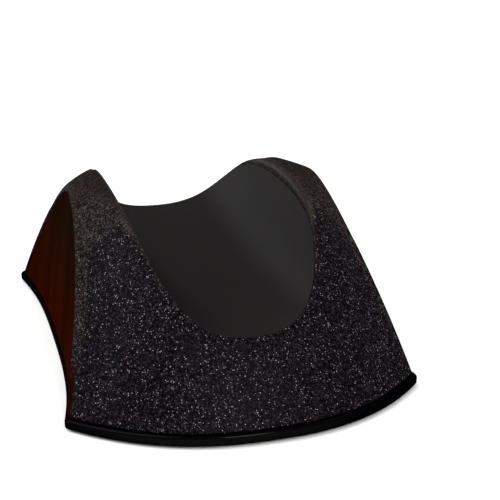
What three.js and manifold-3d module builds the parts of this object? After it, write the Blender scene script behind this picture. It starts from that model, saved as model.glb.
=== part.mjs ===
// A riser block that holds the front wheel of a bicycle while its rear wheel turns on a trainer.
// Millimetres, +Z up. The origin is on the floor under the middle of the block, and X runs along
// the tyre channel. The two ends are alike, and so are the two sides.
import * as THREE from 'three';
import { mergeVertices } from 'three/addons/utils/BufferGeometryUtils.js';
import Module from 'manifold-3d';

const wasm = await Module();
wasm.setup();

// Driving sizes of the outer form
const form = {
  cornerX: 79.7, // middle to a corner of the footprint, along the channel
  cornerY: 67.8, // middle to a corner of the footprint, across the channel
  noseBulge: 28.5, // how far the curved ends stand out past the corners
  nosePowerShare: 2.4, // power of the ends' curve, seen from above
  waist: 6.1, // how far the sides draw in between the corners
  waistPowerShare: 2.8, // power of the sides' curve, seen from above
  leanShare: 0.14, // how much the sides lean in for each unit of height
  archHeight: 66, // height of the end faces' curve at the sides
  domeHeight: 71.5, // height that the same curve would reach over the middle
  crownRun: 27.4, // width over which the height grows from the side to the middle
  sideCurveShare: 1.58, // power of the end faces' curve at the sides
  midCurveShare: 2.39, // power of the end faces' curve over the middle
  crestBlend: 19.6, // roundness that the crest's roll would reach at its full height
};

// The channel is part of a ring, a little wider than a road wheel, so the tyre rests in its middle
const channel = {
  arcCentre: 625, // height of the ring's centre above the underside of the base
  floorHeight: 23.8, // lowest point of the channel above the underside of the base
  shoulder: 27.8, // crest to a corner of the footprint, across the channel
  overlapShare: 1.08, // how far the cutting body reaches past the crest
  basin: 27.3, // rise of the wide bowl at the crest
  flare: 32, // further rise of the steep walls at the crest
  basinPowerShare: 2.41, // power of the bowl's rise
  flarePowerShare: 5.29, // power of the steep walls' rise
  rollFrom: 55.6, // height at which the shell's skin starts to roll over into the channel
  rollRun: 26.6, // height over which the roll would grow in full; the crest reaches part of it
};

const wall = { roof: 2.6, side: 2.4, cradle: 3, rib: 2.4 };
const gap = { touch: 0.3, rib: 0.8 };
const overrun = 12; // how far a cutting body runs past what it cuts
const slopeStep = 0.4; // distance over which a surface's slope is measured

// An inset is measured from a corner of the footprint, and middleInset from the waist
const foot = {
  show: 1, radius: 11, insetX: 12.7, insetY: 24.8,
  stem: 2.6, stemGap: 0.3, head: 3.8, headHeight: 2.2, waistShare: 0.8,
};
const rim = { height: 3.7, bevel: 1.2, bevelShare: 0.35, shelf: 9.5, lower: 5, bottomBreak: 0.5 };
const plate = { thickness: 2.2, footRecess: 1.2 };
const panel = { recess: 0.9, thickness: 2.2, fixX: 30, fixZ: 24 };
const boss = {
  radius: 4.2, pilot: 1.4, insetX: 31.7, insetY: 21.8, middleInset: 16.7, cradleInset: 22.7, cradleY: 9,
};
const panelBoss = { radius: 3.4, clearance: 0.4 };
const screw = { shank: 1.7, clearance: 0.3, head: 3.3, headHeight: 1.7, grip: 11, washerHead: 5, tip: 1.2 };
const sides = { round: 16, foot: 28, screw: 12 };
const ribs = {
  crossShares: [-1, -1 / 3, 1 / 3, 1], clearance: 0.6, crossInset: 29.8,
  spineClearance: 4.6, spineInset: 13.7, top: 46,
};

const baseZ = foot.show;
const rimTop = baseZ + rim.height;
const plateTop = baseZ + plate.thickness;
const screwLow = baseZ + gap.touch;
const pocketDepth = panel.recess + panel.thickness + gap.touch;
const noseX = form.cornerX + form.noseBulge;

// Places that follow the corner of the footprint, and ribs that keep clear of the bosses
const halfGap = form.cornerY - channel.shoulder;
const footX = form.cornerX - foot.insetX;
const footY = form.cornerY - foot.insetY;
const bossX = form.cornerX - boss.insetX;
const bossY = form.cornerY - boss.insetY;
const middleBossY = form.cornerY - form.waist - boss.middleInset;
const cradleBossX = form.cornerX - boss.cradleInset;
const outerRibX = bossX - boss.radius - wall.rib / 2 - ribs.clearance;
const crossReach = form.cornerY - ribs.crossInset;
const spineY = boss.cradleY + boss.radius + wall.rib / 2 + ribs.spineClearance;
const spineReach = form.cornerX - ribs.spineInset;

// A panel's screw head is square to Y, so its boss stands proud of the leaning, waisted wall
const waistPower = form.waistPowerShare;
const waistSlope = waistPower * form.waist * (panel.fixX / form.cornerX) ** (waistPower - 1);
const wallSlope = form.leanShare + waistSlope / form.cornerX;
const bossProud = screw.washerHead * wallSlope + gap.touch;

// Smaller of two heights, with a rounded meeting of the given size
function smoothMin(a, b, size) {
  if (size <= 0) return Math.min(a, b);
  const mix = THREE.MathUtils.clamp(0.5 + (b - a) / (2 * size), 0, 1);
  return b * (1 - mix) + a * mix - size * mix * (1 - mix);
}

// Half width of the footprint at a place along the channel
function sideReach(x, inset = 0) {
  const share = Math.abs(x) / (form.cornerX - inset);
  return form.cornerY - inset - form.waist * (1 - share ** form.waistPowerShare);
}

// Height of the curved ends and their crown at a point of the plan
function domeAt(x, y) {
  const across = Math.abs(y);
  const crownEdge = form.cornerY - form.waist - form.leanShare * form.archHeight;
  const run = THREE.MathUtils.clamp((crownEdge - across) / form.crownRun, 0, 1);
  const crownShare = 1 - (1 - run) * (1 - run);
  const height = form.archHeight + (form.domeHeight - form.archHeight) * crownShare;
  const power = form.sideCurveShare + (form.midCurveShare - form.sideCurveShare) * crownShare;
  const reach = form.cornerX + form.noseBulge * (1 - (across / form.cornerY) ** form.nosePowerShare);
  const fallen = Math.abs(x) / Math.max(reach, form.noseBulge);
  return Math.max(height * (1 - fallen ** power), -overrun);
}

// Height of the channel over its lowest line, straight above the middle of the block
function channelProfile(y) {
  const share = Math.abs(y) / halfGap;
  return channel.floorHeight + channel.basin * share ** channel.basinPowerShare
    + channel.flare * share ** channel.flarePowerShare;
}

// Height of the channel's surface at a point of the plan
function channelAt(x, y) {
  const radius = Math.max(channel.arcCentre - channelProfile(y), Math.abs(x) + overrun);
  return channel.arcCentre - Math.sqrt(radius * radius - x * x);
}

// Roundness of the edge between the shell and the channel, where the channel has this height
function rollAt(height) {
  const { rollFrom, rollRun } = channel;
  return form.crestBlend * THREE.MathUtils.smoothstep(height, rollFrom, rollFrom + rollRun);
}

// Height of the shell's outside with its rounded crest
function crownAt(x, y) {
  const trough = channelAt(x, y);
  return smoothMin(domeAt(x, y), trough, rollAt(trough));
}

// Whether a point of the plan is over the channel, where there is no shell
function insideMouth(x, y) {
  const trough = channelAt(x, y);
  return domeAt(x, y) - trough > rollAt(trough);
}

// A geometry from points and faces
function surfaceGeometry(points, faces) {
  const geometry = new THREE.BufferGeometry();
  geometry.setAttribute('position', new THREE.Float32BufferAttribute(points.flat(), 3));
  geometry.setIndex(faces.flat());
  return geometry;
}

// Faces between rows of points, where each row is a closed ring of the same length
function ringFaces(rows, count, closed) {
  const faces = [];
  const steps = closed ? rows : rows - 1;
  for (let row = 0; row < steps; row += 1) {
    for (let i = 0; i < count; i += 1) {
      const a = row * count + i;
      const b = row * count + ((i + 1) % count);
      const c = ((row + 1) % rows) * count + i;
      const d = ((row + 1) % rows) * count + ((i + 1) % count);
      faces.push([a, b, d], [a, d, c]);
    }
  }
  return faces;
}

// A closed body from rings stacked in order, capped by a fan at the first and the last ring
function stackedBody(rings) {
  const count = rings[0].length;
  const points = rings.flat();
  const faces = ringFaces(rings.length, count, false);
  const centre = (ring) => ring.reduce((sum, p) => sum.map((v, k) => v + p[k] / count), [0, 0, 0]);
  const first = points.push(centre(rings[0])) - 1;
  const last = points.push(centre(rings[rings.length - 1])) - 1;
  for (let i = 0; i < count; i += 1) {
    const next = (i + 1) % count;
    const top = (rings.length - 1) * count;
    faces.push([first, next, i], [last, top + i, top + next]);
  }
  return toSolid(surfaceGeometry(points, faces));
}

// A closed hoop from rings, where the last ring meets the first
function hoopBody(rings) {
  return toSolid(surfaceGeometry(rings.flat(), ringFaces(rings.length, rings[0].length, true)));
}

function toSolid(geometry) {
  geometry.deleteAttribute('normal');
  geometry.deleteAttribute('uv');
  const merged = mergeVertices(geometry);
  return new wasm.Manifold(new wasm.Mesh({
    numProp: 3,
    vertProperties: merged.attributes.position.array,
    triVerts: Uint32Array.from(merged.index.array),
  }));
}

function toGeometry(solid) {
  const mesh = solid.getMesh();
  const geometry = new THREE.BufferGeometry();
  geometry.setAttribute('position', new THREE.BufferAttribute(Float32Array.from(mesh.vertProperties), 3));
  geometry.setIndex(new THREE.BufferAttribute(Uint32Array.from(mesh.triVerts), 1));
  geometry.computeVertexNormals();
  return geometry;
}

// An upright cylinder between two heights
function post(x, y, low, high, radius, topRadius = radius) {
  const count = radius > boss.radius * 2 ? sides.foot : sides.round;
  const geometry = new THREE.CylinderGeometry(topRadius, radius, high - low, count);
  geometry.rotateX(Math.PI / 2);
  geometry.translate(x, y, (low + high) / 2);
  return toSolid(geometry);
}

// A level cylinder across the block, between two places on Y
function crossPost(x, z, from, to, radius) {
  const geometry = new THREE.CylinderGeometry(radius, radius, Math.abs(to - from), sides.round);
  geometry.translate(x, (from + to) / 2, z);
  return toSolid(geometry);
}

function block(low, high) {
  const size = high.map((v, k) => v - low[k]);
  const geometry = new THREE.BoxGeometry(...size);
  geometry.translate(...high.map((v, k) => (v + low[k]) / 2));
  return toSolid(geometry);
}

// The footprint's outline, drawn in by an inset: two bulging ends and two waisted sides
function outline(inset) {
  const endSteps = 20;
  const sideSteps = 12;
  const x0 = form.cornerX - inset;
  const y0 = form.cornerY - inset;
  const points = [];
  for (const end of [1, -1]) {
    for (let i = 0; i < endSteps; i += 1) {
      const share = -1 + (2 * i) / endSteps;
      const bulge = form.noseBulge * (1 - Math.abs(share) ** form.nosePowerShare);
      points.push([end * (x0 + bulge), end * share * y0]);
    }
    for (let i = 0; i < sideSteps; i += 1) {
      const x = x0 * (1 - (2 * i) / sideSteps);
      points.push([end * x, end * sideReach(x, inset)]);
    }
  }
  return points;
}

function outlineRing(inset, z) {
  return outline(inset).map(([x, y]) => [x, y, z]);
}

// Everything between the two leaning sides, drawn in by an inset
function betweenSides(inset, low, high) {
  const steps = 16;
  const reach = noseX + overrun;
  const rings = [];
  for (let i = 0; i <= steps; i += 1) {
    const x = reach * (-1 + (2 * i) / steps);
    const bottom = sideReach(x) - inset - form.leanShare * (low - baseZ);
    const top = sideReach(x) - inset - form.leanShare * (high - baseZ);
    rings.push([[x, -bottom, low], [x, bottom, low], [x, top, high], [x, -top, high]]);
  }
  return stackedBody(rings);
}

// Rings of plan points around the block. Those within it share out the way from the channel's mouth
// to the block's own edge, so they run alongside that edge, and the rest lie outside it.
const directions = 96;
const ringShares = [0, 0.06, 0.14, 0.24, 0.36, 0.5, 0.65, 0.79, 0.92];
const ringsBeyond = [1.5, overrun];

function directionAngle(index) {
  return (2 * Math.PI * (index + 0.5)) / directions;
}

function insideEdge(x, y) {
  const height = crownAt(x, y);
  return height > 0 && Math.abs(y) < sideReach(x) - form.leanShare * height;
}

// Distance from the middle, in a given direction, to where a condition stops holding
function reachWhile(holds, angle) {
  let low = 0;
  let high = noseX + overrun;
  const halvings = 40;
  for (let i = 0; i < halvings; i += 1) {
    const middle = (low + high) / 2;
    if (holds(middle * Math.cos(angle), middle * Math.sin(angle))) low = middle;
    else high = middle;
  }
  return (low + high) / 2;
}

const angles = Array.from({ length: directions }, (unused, i) => directionAngle(i));
const mouth = angles.map((angle) => reachWhile(insideMouth, angle));
const edge = angles.map((angle) => reachWhile(insideEdge, angle));

function planPoints(radii) {
  return radii.map((radius, i) => [radius * Math.cos(angles[i]), radius * Math.sin(angles[i])]);
}

const planRings = [
  ...ringShares.map((share) => planPoints(mouth.map((near, i) => near + (edge[i] - near) * share))),
  ...ringsBeyond.map((beyond) => planPoints(edge.map((far) => far + beyond))),
];

// How far down the roof's inside lies, so that its wall keeps its thickness on a slope
function roofDrop(x, y, thickness) {
  const alongX = (crownAt(x + slopeStep, y) - crownAt(x - slopeStep, y)) / (2 * slopeStep);
  const alongY = (crownAt(x, y + slopeStep) - crownAt(x, y - slopeStep)) / (2 * slopeStep);
  const limitShare = 2.4; // the steepest lip counts as this many times the wall
  return thickness * Math.min(Math.sqrt(1 + alongX ** 2 + alongY ** 2), limitShare);
}

// The whole outer form outside the channel's mouth
function outerForm() {
  const floor = -2 * overrun;
  const rings = planRings.map((ring) => ring.map(([x, y]) => {
    return [x, y, baseZ + Math.max(crownAt(x, y), -overrun)];
  }));
  rings.push(planRings[planRings.length - 1].map(([x, y]) => [x, y, floor]));
  rings.push(planRings[0].map(([x, y]) => [x, y, floor]));
  return hoopBody(rings.reverse());
}

// Everything under the roof, which is this thick
function underRoof(thickness) {
  const rings = planRings.map((ring) => ring.map(([x, y]) => {
    return [x, y, baseZ + Math.max(crownAt(x, y) - roofDrop(x, y, thickness), -overrun)];
  }));
  rings.push(planRings[planRings.length - 1].map(([x, y]) => [x, y, -2 * overrun]));
  return stackedBody(rings.reverse());
}

// Everything above the channel, after its surface has moved outwards by a thickness
function aboveChannel(thickness) {
  const across = 30;
  const along = 18;
  const profile = [];
  const top = channel.arcCentre - form.domeHeight - 5 * overrun;
  const reachY = halfGap * channel.overlapShare;
  for (let i = 0; i <= across; i += 1) {
    const share = -1 + (2 * i) / across;
    const y = reachY * Math.sin((share * Math.PI) / 2);
    const slope = (channelProfile(y + slopeStep) - channelProfile(y - slopeStep)) / (2 * slopeStep);
    const length = Math.sqrt(1 + slope * slope);
    const radius = channel.arcCentre - channelProfile(y) + thickness / length;
    profile.push([y + (thickness * slope) / length, radius]);
  }
  const widest = profile[across][0];
  profile.push([widest, top], [-widest, top]);
  const sweep = Math.asin((noseX + overrun) / (channel.arcCentre - channelProfile(0)));
  const rings = [];
  for (let i = 0; i <= along; i += 1) {
    const angle = sweep * (-1 + (2 * i) / along);
    rings.push(profile.map(([y, radius]) => [
      radius * Math.sin(angle), y, baseZ + channel.arcCentre - radius * Math.cos(angle),
    ]));
  }
  return stackedBody(rings);
}

// A straight body over the channel's mouth, drawn in by an inset
function mouthColumn(inset) {
  const ring = (z) => planPoints(mouth.map((near) => near - inset)).map(([x, y]) => [x, y, z]);
  return stackedBody([ring(-overrun), ring(form.domeHeight + 2 * overrun)]);
}

const shellFixings = [];
for (const x of [-bossX, bossX]) {
  for (const y of [-bossY, bossY]) shellFixings.push([x, y]);
}
for (const y of [-middleBossY, middleBossY]) shellFixings.push([0, y]);

const cradleFixings = [];
for (const x of [-cradleBossX, cradleBossX]) {
  for (const y of [-boss.cradleY, boss.cradleY]) cradleFixings.push([x, y]);
}

const footPlaces = [];
for (const x of [-footX, footX]) {
  for (const y of [-footY, footY]) footPlaces.push([x, y]);
}

const panelFixings = [-panel.fixX, panel.fixX];

// Place on Y of a side's leaning face at an inset, at one of the panel's fixings
function sideFaceY(x, inset) {
  return sideReach(x) - inset - form.leanShare * (panel.fixZ - baseZ);
}

const everything = form.domeHeight + 2 * overrun;
const cavity = betweenSides(pocketDepth + wall.side, rimTop - overrun, everything);
const hollow = underRoof(wall.roof).intersect(cavity);

function makeShell() {
  const pockets = underRoof(wall.roof).subtract(betweenSides(pocketDepth, rimTop - 2 * overrun, everything));
  let shell = outerForm().intersect(betweenSides(0, rimTop, everything)).subtract(pockets).subtract(hollow);
  const within = hollow.add(outerForm().intersect(betweenSides(pocketDepth, rimTop, everything)));
  for (const [x, y] of shellFixings) {
    const column = post(x, y, plateTop, everything, boss.radius);
    shell = shell.add(column.intersect(within));
  }
  for (const [x, y] of shellFixings) {
    shell = shell.subtract(post(x, y, plateTop - overrun, plateTop + screw.grip + screw.tip, boss.pilot));
  }
  for (const x of panelFixings) {
    for (const side of [-1, 1]) {
      const from = side * (sideFaceY(x, pocketDepth) + wall.side);
      const to = side * (sideFaceY(x, pocketDepth + wall.side) - wall.side);
      shell = shell.subtract(crossPost(x, panel.fixZ, from, to, panelBoss.radius + panelBoss.clearance));
    }
  }
  return shell;
}

function makeCradle() {
  const sheet = aboveChannel(wall.cradle).subtract(aboveChannel(0)).intersect(mouthColumn(gap.touch));
  const below = mouthColumn(gap.touch).subtract(aboveChannel(wall.cradle / 2));
  let cradle = sheet;
  for (const [x, y] of cradleFixings) {
    cradle = cradle.add(post(x, y, plateTop, everything, boss.radius).intersect(below));
  }
  for (const [x, y] of cradleFixings) {
    cradle = cradle.subtract(post(x, y, plateTop - overrun, plateTop + screw.grip + screw.tip, boss.pilot));
  }
  return cradle;
}

function makePanel(side) {
  const outside = betweenSides(panel.recess, rimTop + gap.touch, everything);
  const inside = betweenSides(panel.recess + panel.thickness, rimTop - overrun, everything);
  const half = block([-noseX, 0, 0], [noseX, form.cornerY + overrun, everything]);
  let plateBody = underRoof(wall.roof + gap.touch).intersect(outside).subtract(inside);
  plateBody = plateBody.intersect(side > 0 ? half : half.rotate([0, 0, 180]));
  for (const x of panelFixings) {
    const from = side * (sideFaceY(x, panel.recess) - panel.thickness / 2);
    const to = side * (sideFaceY(x, pocketDepth + wall.side) - bossProud);
    plateBody = plateBody.add(crossPost(x, panel.fixZ, from, to, panelBoss.radius));
    const hole = crossPost(x, panel.fixZ, side * (sideFaceY(x, panel.recess) - panel.thickness),
      to - side * overrun, boss.pilot);
    plateBody = plateBody.subtract(hole);
  }
  return plateBody;
}

function makeRim() {
  const shoulder = rim.bevel * rim.bevelShare;
  const profile = [
    [rim.bottomBreak, baseZ], [0, baseZ + rim.bottomBreak], [0, rimTop - rim.bevel],
    [shoulder, rimTop - shoulder], [rim.bevel, rimTop], [rim.shelf, rimTop],
    [rim.shelf, plateTop], [rim.lower, plateTop], [rim.lower, baseZ],
  ];
  return hoopBody(profile.map(([inset, z]) => outlineRing(inset, z)));
}

function makePlate() {
  const inset = rim.lower + gap.touch;
  let body = stackedBody([outlineRing(inset, baseZ), outlineRing(inset, plateTop)]);
  for (const [x, y] of [...shellFixings, ...cradleFixings]) {
    const radius = screw.shank + screw.clearance;
    const head = screw.head + screw.clearance;
    body = body.subtract(post(x, y, baseZ - overrun, plateTop + overrun, radius));
    body = body.subtract(post(x, y, baseZ - overrun, screwLow, head));
    body = body.subtract(post(x, y, screwLow, screwLow + screw.headHeight, head, radius));
  }
  for (const [x, y] of footPlaces) {
    body = body.subtract(post(x, y, baseZ - overrun, baseZ + plate.footRecess, foot.radius + gap.touch));
    body = body.subtract(post(x, y, baseZ - overrun, plateTop + overrun, foot.stem + foot.stemGap));
  }
  return body;
}

// A rubber foot: a round pad, a stem through the plate and a bulb that holds it there
function makeFoot() {
  const ceiling = baseZ + plate.footRecess;
  const hold = plateTop + gap.touch;
  const profile = [
    [0, 0], [foot.radius - foot.show, 0], [foot.radius, foot.show], [foot.radius, ceiling],
    [foot.stem, ceiling], [foot.stem, hold], [foot.head, hold],
    [foot.head * foot.waistShare, hold + foot.headHeight / 2], [0, hold + foot.headHeight],
  ].map(([r, z]) => new THREE.Vector2(r, z));
  const geometry = new THREE.LatheGeometry(profile, sides.foot);
  geometry.rotateX(Math.PI / 2);
  return toSolid(geometry);
}

// A countersunk screw that comes up through the plate
function plateScrew(x, y) {
  const thread = boss.pilot - screw.clearance / 2;
  const end = plateTop + screw.grip;
  const profile = [
    [0, screwLow], [screw.head, screwLow], [screw.shank, screwLow + screw.headHeight],
    [screw.shank, plateTop], [thread, plateTop], [thread, end], [0, end + screw.tip],
  ].map(([r, z]) => new THREE.Vector2(r, z));
  const geometry = new THREE.LatheGeometry(profile, sides.screw);
  geometry.rotateX(Math.PI / 2);
  geometry.translate(x, y, 0);
  return toSolid(geometry);
}

// A flat-headed screw inside the shell that pulls a side panel into its pocket
function panelScrew(x, side) {
  const seat = sideFaceY(x, pocketDepth + wall.side) - bossProud - gap.touch;
  const end = sideFaceY(x, panel.recess + panel.thickness);
  const head = crossPost(x, panel.fixZ, side * (seat - screw.headHeight), side * seat, screw.washerHead);
  const shank = crossPost(x, panel.fixZ, side * (seat - screw.headHeight / 2), side * end,
    boss.pilot - screw.clearance / 2);
  return head.add(shank);
}

// Crossed ribs that carry the cradle on the base plate
function makeSupport() {
  const low = plateTop;
  const half = wall.rib / 2;
  const parts = ribs.crossShares.map((share) => block(
    [share * outerRibX - half, -crossReach, low], [share * outerRibX + half, crossReach, everything],
  ));
  for (const y of [-spineY, spineY]) {
    parts.push(block([-spineReach, y - half, low], [spineReach, y + half, everything]));
  }
  const grid = parts.reduce((sum, part) => sum.add(part));
  const room = underRoof(wall.roof + gap.rib)
    .intersect(betweenSides(pocketDepth + wall.side + gap.rib, low - overrun, everything));
  let body = grid.intersect(room).subtract(aboveChannel(wall.cradle + gap.touch));
  const lid = block([-noseX, -form.cornerY, low], [noseX, form.cornerY, ribs.top]);
  body = body.intersect(lid);
  return body.subtract(rimClearance());
}

// Room that the ribs leave for the rim's shelf
function rimClearance() {
  const inset = rim.shelf + gap.touch;
  const low = plateTop - overrun;
  const outer = outlineRing(-overrun, low);
  const outerTop = outlineRing(-overrun, rimTop + gap.touch);
  const inner = outlineRing(inset, low);
  const innerTop = outlineRing(inset, rimTop + gap.touch);
  return hoopBody([outer, outerTop, innerTop, inner]);
}

const finishes = {
  grained: { color: 0x1b191d, roughness: 0.62, metalness: 0 },
  satin: { color: 0x2a2a2b, roughness: 0.45, metalness: 0 },
  gloss: { color: 0x0b0a0b, roughness: 0.08, metalness: 0 },
  inner: { color: 0x202022, roughness: 0.6, metalness: 0 },
  rubber: { color: 0x18181a, roughness: 0.85, metalness: 0 },
  steel: { color: 0x9a9a98, roughness: 0.35, metalness: 1 },
};

const riser = new THREE.Group();

function add(name, solid, finish, place = [0, 0, 0]) {
  const mesh = new THREE.Mesh(toGeometry(solid), new THREE.MeshStandardMaterial(finishes[finish]));
  mesh.name = name;
  mesh.position.set(...place);
  riser.add(mesh);
}

add('upper_shell', makeShell(), 'grained');
add('wheel_cradle', makeCradle(), 'satin');
add('side_panel_left', makePanel(1), 'gloss');
add('side_panel_right', makePanel(-1), 'gloss');
add('base_rim', makeRim(), 'gloss');
add('base_plate', makePlate(), 'inner');
add('support_frame', makeSupport(), 'inner');
const footNames = ['foot_rear_right', 'foot_rear_left', 'foot_front_right', 'foot_front_left'];
footPlaces.forEach(([x, y], i) => add(footNames[i], makeFoot(), 'rubber', [x, y, 0]));
shellFixings.forEach(([x, y], i) => add(`shell_screw_${i + 1}`, plateScrew(x, y), 'steel'));
cradleFixings.forEach(([x, y], i) => add(`cradle_screw_${i + 1}`, plateScrew(x, y), 'steel'));
panelFixings.forEach((x, i) => {
  add(`panel_screw_right_${i + 1}`, panelScrew(x, -1), 'steel');
  add(`panel_screw_left_${i + 1}`, panelScrew(x, 1), 'steel');
});

export default riser;
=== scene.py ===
import math

import bmesh
import bpy
import numpy as np
from mathutils import Matrix, Vector


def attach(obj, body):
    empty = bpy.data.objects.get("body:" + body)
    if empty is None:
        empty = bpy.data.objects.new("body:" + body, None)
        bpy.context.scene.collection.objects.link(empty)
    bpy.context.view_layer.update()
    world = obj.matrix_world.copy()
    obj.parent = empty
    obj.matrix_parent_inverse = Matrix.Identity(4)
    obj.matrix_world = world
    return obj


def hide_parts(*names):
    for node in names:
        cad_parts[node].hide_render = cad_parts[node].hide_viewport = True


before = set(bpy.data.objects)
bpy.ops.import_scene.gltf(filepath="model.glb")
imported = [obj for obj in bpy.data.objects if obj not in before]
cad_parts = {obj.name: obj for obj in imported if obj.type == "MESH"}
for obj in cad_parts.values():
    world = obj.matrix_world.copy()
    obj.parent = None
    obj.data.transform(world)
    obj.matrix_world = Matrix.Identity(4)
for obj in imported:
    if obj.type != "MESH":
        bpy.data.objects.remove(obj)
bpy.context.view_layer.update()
print("frame loaded:", len(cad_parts), "nodes")

millimetre = 0.001

# How finely curves and crossings are traced
tracing = {
    "halvings": 44,         # of an interval that closes on a crossing
    "sideTurns": 40,        # for a height and the leaning side to settle on each other
    "curveSamples": 900,
    "slopeStep": 0.4,       # millimetres between the heights that give the roof's slope
    "channelStep": 0.2,     # and the channel's
    "leastRing": 12,        # the channel's ring stays this much wider than the point is far out
    "widest": 110,          # no crossing lies further out than this
    "footSearch": (20.0, 104.0),    # a side curve comes down to the rim between these
}

# Outer form of the block in millimetres, with heights above the underside of the base rim
blockForm = {
    "floorGap": 1,          # the feet hold the rim this far off the floor
    "cornerX": 79.7,        # middle to a corner of the footprint, along the channel
    "cornerY": 67.8,        # middle to a corner, across the channel
    "noseBulge": 28.5,      # the curved ends stand out this far past the corners
    "nosePower": 2.4,       # powers shape each curve: the higher, the squarer
    "waist": 6.1,           # the sides draw in this far between the corners
    "waistPower": 2.8,
    "lean": 0.14,           # the sides lean in by this share of the height
    "archHeight": 66,       # the end faces' dome would reach this height over the sides
    "domeHeight": 71.5,     # and this height over the middle
    "crownRun": 27.4,       # and changes between the two over this width
    "sideCurve": 1.58,      # the dome's power along the channel, at the sides
    "midCurve": 2.39,       # and over the middle
    "crestBlend": 19.6,     # size of the crests' roll into the channel, where it is full
    "arcCentre": 625,       # height of the ring's centre that the channel is a part of
    "channelFloor": 23.8,
    "halfGap": 40,          # half the channel's width between the crests
    "basin": 27.3,          # the channel's wide bowl rises this far over that width
    "flare": 32,            # and its steep flare this far
    "basinPower": 2.41,
    "flarePower": 5.29,
    "rollFrom": 55.6,       # the roll starts where the channel is this high
    "rollRun": 26.6,        # and is full this much higher
    "rimHeight": 3.7,
    "roofWall": 2.6,
    "steepestWall": 2.4,    # a steep wall counts as at most this many times its thickness
}


# Rises from 0 at the low value to 1 at the high one, level at both ends
def smoothStep(value, low, high):
    share = np.clip((value - low) / (high - low), 0, 1)
    return share * share * (3 - 2 * share)


# Smaller of two heights, with a rounded meeting of the given size
def smoothMin(first, second, size):
    size = np.maximum(size, 1e-6)
    mix = np.clip(0.5 + (second - first) / (2 * size), 0, 1)
    return second * (1 - mix) + first * mix - size * mix * (1 - mix)


# Half width of the footprint: the corner's, less a waist that fades with a power of x
def sideReach(x, inset=0):
    form = blockForm
    share = np.abs(x) / (form["cornerX"] - inset)
    return form["cornerY"] - inset - form["waist"] * (1 - share ** form["waistPower"])


# How far the curved ends reach past the corners, at a share of the half width
def noseReach(share):
    return blockForm["noseBulge"] * (1 - np.abs(share) ** blockForm["nosePower"])


# Height of the end faces: a dome of power curves along x, rounder and higher towards the middle
def domeHeight(x, y):
    form = blockForm
    across = np.abs(y)
    crownEdge = form["cornerY"] - form["waist"] - form["lean"] * form["archHeight"]
    run = np.clip((crownEdge - across) / form["crownRun"], 0, 1)
    crown = 1 - (1 - run) ** 2
    height = form["archHeight"] + (form["domeHeight"] - form["archHeight"]) * crown
    power = form["sideCurve"] + (form["midCurve"] - form["sideCurve"]) * crown
    reach = form["cornerX"] + noseReach(across / form["cornerY"])
    return height * (1 - (np.abs(x) / np.maximum(reach, form["noseBulge"])) ** power)


# Height of the channel above its middle: a wide bowl and a steep flare, both powers of y
def channelProfile(y):
    form = blockForm
    share = np.abs(y) / form["halfGap"]
    bowl = form["basin"] * share ** form["basinPower"]
    return form["channelFloor"] + bowl + form["flare"] * share ** form["flarePower"]


# The profile swept round a ring whose centre stands above the block
def channelHeight(x, y):
    radius = np.maximum(blockForm["arcCentre"] - channelProfile(y), np.abs(x) + tracing["leastRing"])
    return blockForm["arcCentre"] - np.sqrt(radius ** 2 - x ** 2)


# How far the crests' roll reaches, from the height of the channel beside them
def rollSize(height):
    form = blockForm
    return form["crestBlend"] * smoothStep(height, form["rollFrom"], form["rollFrom"] + form["rollRun"])


# The shell's outside: the dome, rolled over into the channel at the crests
def crownHeight(x, y):
    trough = channelHeight(x, y)
    return smoothMin(domeHeight(x, y), trough, rollSize(trough))


# Slope of the shell's outside along x and along y
def roofSlope(x, y):
    step = tracing["slopeStep"]
    alongX = (crownHeight(x + step, y) - crownHeight(x - step, y)) / (2 * step)
    alongY = (crownHeight(x, y + step) - crownHeight(x, y - step)) / (2 * step)
    return np.stack([alongX, alongY], -1)


# The shell's inside: below the outside by its wall, measured square to the slope
def underHeight(x, y, wall):
    steep = np.sqrt(1 + (roofSlope(x, y) ** 2).sum(-1))
    return crownHeight(x, y) - wall * np.minimum(steep, blockForm["steepestWall"])


# Halves an interval until it closes on the place where a condition stops holding
def lastWhere(holds, low, high):
    low = np.array(low, float)
    high = np.array(high, float)
    for _ in range(tracing["halvings"]):
        middle = (low + high) / 2
        inside = holds(middle)
        low = np.where(inside, middle, low)
        high = np.where(inside, high, middle)
    return (low + high) / 2


# Distance from the middle to the edge of the channel, for each direction
def mouthRadius(angle):
    def overChannel(radius):
        x = radius * np.cos(angle)
        y = radius * np.sin(angle)
        trough = channelHeight(x, y)
        return domeHeight(x, y) - trough > rollSize(trough)
    return lastWhere(overChannel, np.zeros_like(angle), np.full_like(angle, tracing["widest"]))


# Where a height field meets the leaning side: the plan's y follows the height back and forth
def onSide(x, heightField, inset=0):
    y = sideReach(x) - inset
    for _ in range(tracing["sideTurns"]):
        z = np.maximum(heightField(x, y), 0)
        y = sideReach(x) - inset - blockForm["lean"] * z
    return np.stack([x, y, heightField(x, y)], -1)


# Points along a curve, from where it stands on the rim to the middle, at shares of its length
def fromRimToMiddle(curve, shares, foot):
    low, high = tracing["footSearch"]
    end = lastWhere(lambda x: curve(x)[..., 2] > foot, [low], [high])[0]
    x = np.linspace(end, 0, tracing["curveSamples"])
    points = curve(x)
    length = np.concatenate([[0], np.cumsum(np.linalg.norm(np.diff(points, axis=0), axis=1))])
    along = shares * length[-1]
    return np.stack([np.interp(along, length, points[:, k]) for k in range(3)], -1)


def mixPoints(first, second, share):
    return first + (second - first) * share


# A curved corner: quadratic blend that leaves the first point towards the corner and ends at the last
def cornerRows(first, corner, last, steps):
    shares = np.linspace(0, 1, steps + 1)
    return [first * (1 - t) ** 2 + corner * (2 * t * (1 - t)) + last * t ** 2 for t in shares]


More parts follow.
